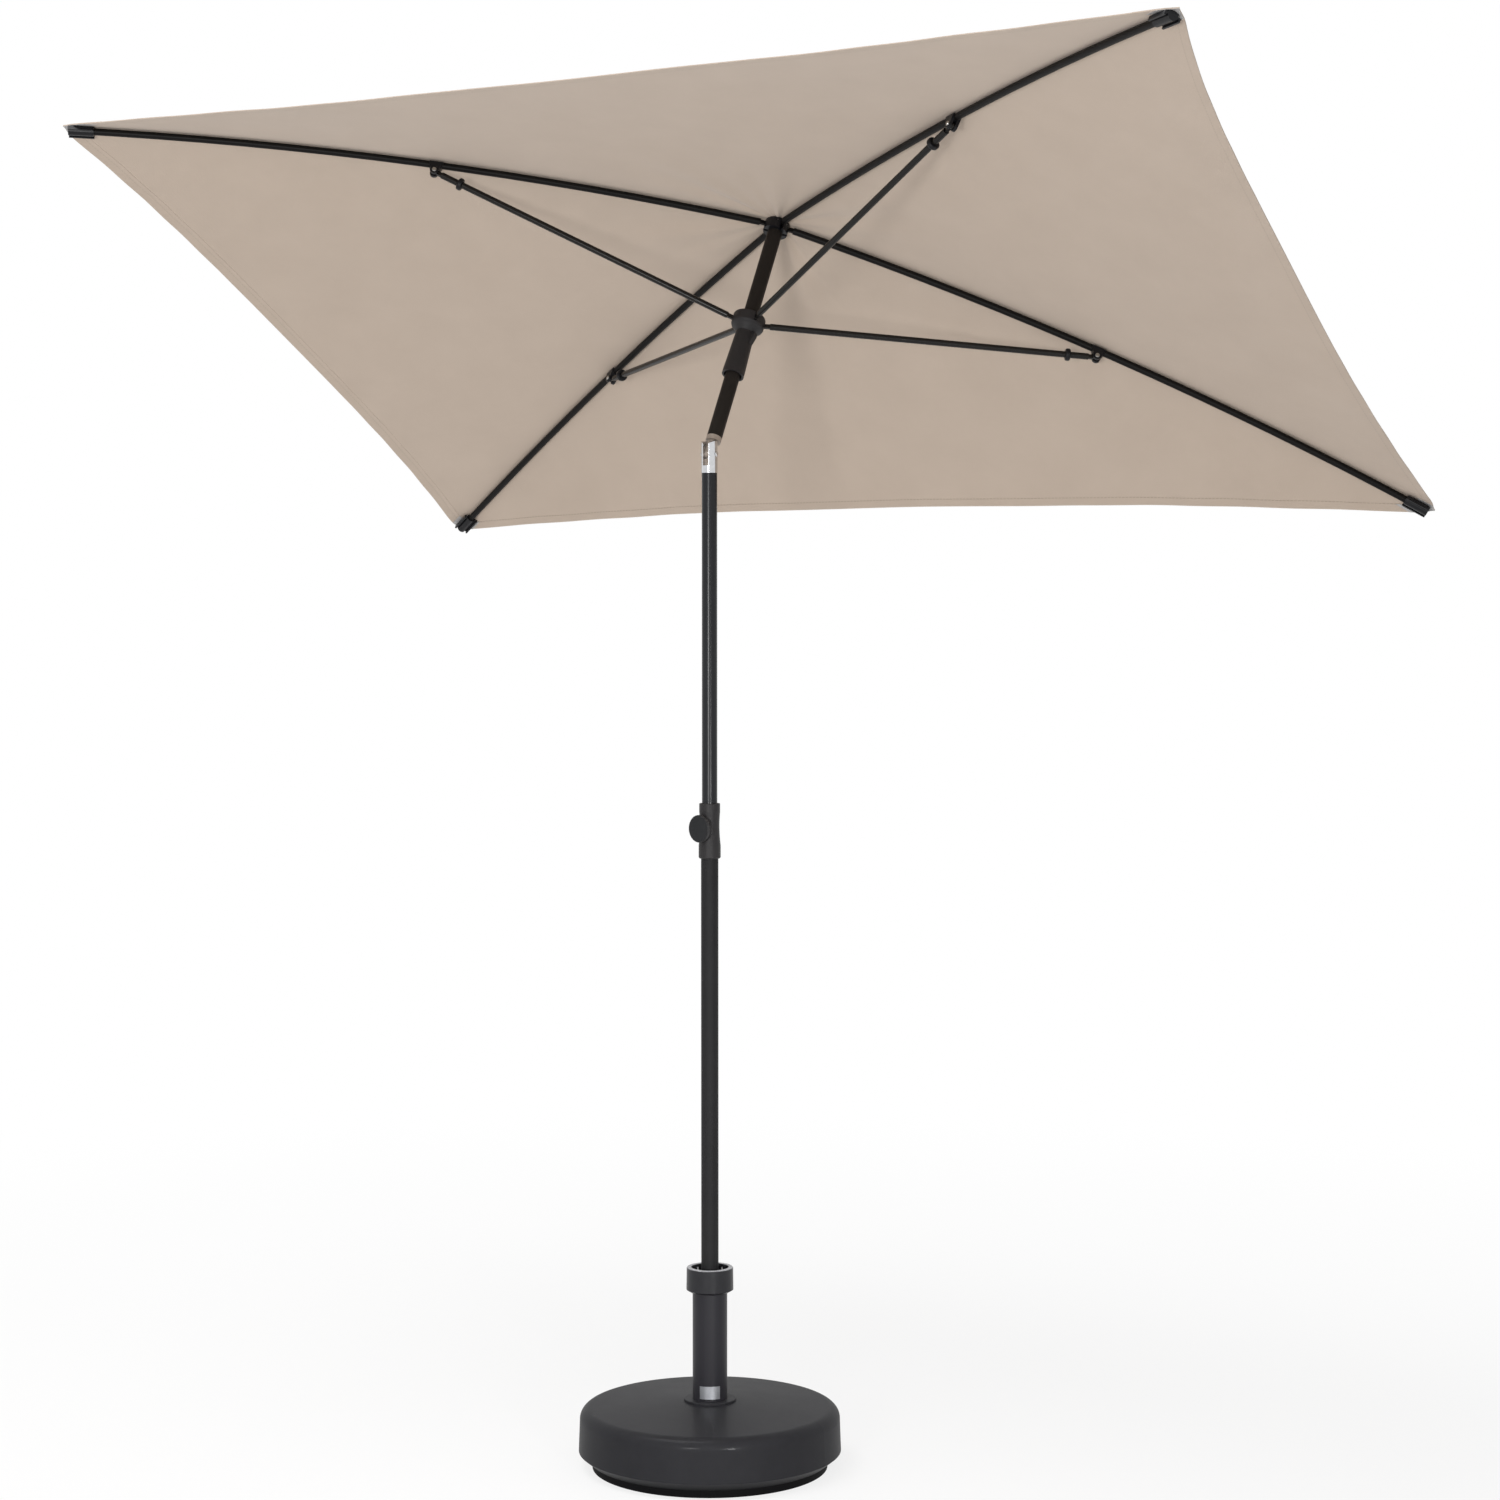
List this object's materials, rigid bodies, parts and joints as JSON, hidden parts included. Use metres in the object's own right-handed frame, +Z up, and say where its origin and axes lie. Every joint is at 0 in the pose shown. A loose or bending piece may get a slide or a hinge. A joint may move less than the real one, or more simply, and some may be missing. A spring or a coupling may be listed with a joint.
{
  "type": "patio umbrella with base",
  "caption": "Rectangular tilting patio umbrella with a bowed fabric canopy on four ribs, a telescopic mast with a hand knob and a round weighted base.",
  "frame": {"origin": "centre of the base's underside, on the floor", "axes": "+Z up along the mast, +X along the canopy's long side, +Y the way the canopy leans"},
  "size_m": [2.1, 1.1985, 2.3293],
  "materials": {
    "black_plate": "matte",
    "base_shell": "satin",
    "concrete": "rough",
    "base_tube": "satin",
    "bare_plate": "satin",
    "black_plastic": "satin",
    "lower_paint": "satin",
    "upper_paint": "satin",
    "frame_paint": "satin",
    "zinc": "satin",
    "bright_chrome": "polished",
    "fabric": "woven"
  },
  "bodies": {
    "stand": {"base_plate": "black_plate", "base_core": "concrete", "base_casing": "base_shell", "base_tube": "base_tube", "foot_ring": "base_tube", "blank_plate": "bare_plate", "pole_reducer": "black_plastic"},
    "collar": {"clamp_collar": "black_plastic"},
    "lower_mast": {"lower_mast_tube": "lower_paint", "mast_foot_plug": "black_plastic", "height_sleeve": "black_plastic", "sleeve_nut": "zinc"},
    "knob": {"height_knob": "black_plastic", "knob_screw": "zinc"},
    "upper_mast": {"upper_mast_tube": "upper_paint", "guide_bush": "black_plastic", "tilt_sleeve": "bright_chrome", "tilt_pin": "zinc"},
    "canopy_head": {"tilt_knuckle": "zinc", "canopy_pole": "frame_paint", "hub": "black_plastic", "hub_pins": "zinc", "top_cap": "black_plastic", "canopy_right": "fabric", "canopy_left": "fabric", "canopy_far": "fabric", "canopy_near": "fabric"},
    "button": {"tilt_button": "zinc"},
    "runner_body": {"runner": "black_plastic", "runner_pins": "zinc"},
    "latch": {"runner_latch": "black_plastic"},
    "rib_body_a": {"rib_a": "frame_paint", "rib_bracket_a": "black_plastic", "rib_rivet_a": "zinc", "rib_end_cap_a": "black_plastic"},
    "stretcher_body_a": {"stretcher_a": "frame_paint", "stretcher_ring_a": "black_plastic"},
    "rib_body_b": {"rib_b": "frame_paint", "rib_bracket_b": "black_plastic", "rib_rivet_b": "zinc", "rib_end_cap_b": "black_plastic"},
    "stretcher_body_b": {"stretcher_b": "frame_paint", "stretcher_ring_b": "black_plastic"},
    "rib_body_c": {"rib_c": "frame_paint", "rib_bracket_c": "black_plastic", "rib_rivet_c": "zinc", "rib_end_cap_c": "black_plastic"},
    "stretcher_body_c": {"stretcher_c": "frame_paint", "stretcher_ring_c": "black_plastic"},
    "rib_body_d": {"rib_d": "frame_paint", "rib_bracket_d": "black_plastic", "rib_rivet_d": "zinc", "rib_end_cap_d": "black_plastic"},
    "stretcher_body_d": {"stretcher_d": "frame_paint", "stretcher_ring_d": "black_plastic"}
  },
  "joints": [
    {"name": "collar_turn", "type": "hinge", "parent": "stand", "child": "collar", "pos_m": [0, 0, 0.347], "axis": [0, 0, 1], "range_deg": [0, 120]},
    {"name": "mast_turn", "type": "hinge", "parent": "stand", "child": "lower_mast", "pos_m": [0, 0, 0], "axis": [0, 0, 1], "continuous": true},
    {"name": "mast_slide", "type": "slide", "parent": "lower_mast", "child": "upper_mast", "axis": [0, 0, 1], "range_m": [-0.5, 0.12]},
    {"name": "knob_turn", "type": "hinge", "parent": "lower_mast", "child": "knob", "pos_m": [0, 0, 1.108], "axis": [-0.2501, -0.9682, 0], "continuous": true},
    {"name": "tilt", "type": "hinge", "parent": "upper_mast", "child": "canopy_head", "pos_m": [0, 0, 1.75], "axis": [1, 0, 0], "range_deg": [0, 29.5]},
    {"name": "tilt_press", "type": "slide", "parent": "canopy_head", "child": "button", "axis": [0, 0.8704, -0.4924], "range_m": [0, 0.0025], "stiffness_N_per_m": 600, "springref_m": -0.003},
    {"name": "runner_slide", "type": "slide", "parent": "canopy_head", "child": "runner_body", "axis": [0, -0.4924, -0.8704], "range_m": [0, 0.13]},
    {"name": "latch_press", "type": "slide", "parent": "runner_body", "child": "latch", "axis": [-1, 0, 0], "range_m": [0, 0.0012], "stiffness_N_per_m": 800, "springref_m": -0.003},
    {"name": "rib_fold_a", "type": "hinge", "parent": "canopy_head", "child": "rib_body_a", "pos_m": [-0.01549, 0.22509, 2.1684], "axis": [0.5469, -0.7286, 0.4122], "range_deg": [0, 7.74]},
    {"name": "rib_fold_b", "type": "hinge", "parent": "canopy_head", "child": "rib_body_b", "pos_m": [0.01549, 0.22509, 2.1684], "axis": [0.5469, 0.7286, -0.4122], "range_deg": [0, 7.74]},
    {"name": "rib_fold_c", "type": "hinge", "parent": "canopy_head", "child": "rib_body_c", "pos_m": [0.01549, 0.24271, 2.15844], "axis": [-0.5469, 0.7286, -0.4122], "range_deg": [0, 7.74]},
    {"name": "rib_fold_d", "type": "hinge", "parent": "canopy_head", "child": "rib_body_d", "pos_m": [-0.01549, 0.24271, 2.15844], "axis": [-0.5469, -0.7286, 0.4122], "range_deg": [0, 7.74]},
    {"name": "stretcher_swing_a", "type": "hinge", "parent": "runner_body", "child": "stretcher_body_a", "pos_m": [-0.02009, 0.12153, 1.99146], "axis": [-0.5469, 0.7286, -0.4122], "range_deg": [0, 6.11]},
    {"name": "stretcher_swing_b", "type": "hinge", "parent": "runner_body", "child": "stretcher_body_b", "pos_m": [0.02009, 0.12153, 1.99146], "axis": [-0.5469, -0.7286, 0.4122], "range_deg": [0, 6.11]},
    {"name": "stretcher_swing_c", "type": "hinge", "parent": "runner_body", "child": "stretcher_body_c", "pos_m": [0.02009, 0.14438, 1.97853], "axis": [0.5469, -0.7286, 0.4122], "range_deg": [0, 6.11]},
    {"name": "stretcher_swing_d", "type": "hinge", "parent": "runner_body", "child": "stretcher_body_d", "pos_m": [-0.02009, 0.14438, 1.97853], "axis": [0.5469, 0.7286, -0.4122], "range_deg": [0, 6.11]}
  ],
  "couplings": [
    {"joint": "rib_fold_a", "follows": "runner_slide", "rad_per_m": 0.97139},
    {"joint": "rib_fold_b", "follows": "runner_slide", "rad_per_m": 0.97139},
    {"joint": "rib_fold_c", "follows": "runner_slide", "rad_per_m": 0.97139},
    {"joint": "rib_fold_d", "follows": "runner_slide", "rad_per_m": 0.97139},
    {"joint": "stretcher_swing_a", "follows": "runner_slide", "rad_per_m": 0.75376},
    {"joint": "stretcher_swing_b", "follows": "runner_slide", "rad_per_m": 0.75376},
    {"joint": "stretcher_swing_c", "follows": "runner_slide", "rad_per_m": 0.75376},
    {"joint": "stretcher_swing_d", "follows": "runner_slide", "rad_per_m": 0.75376}
  ]
}
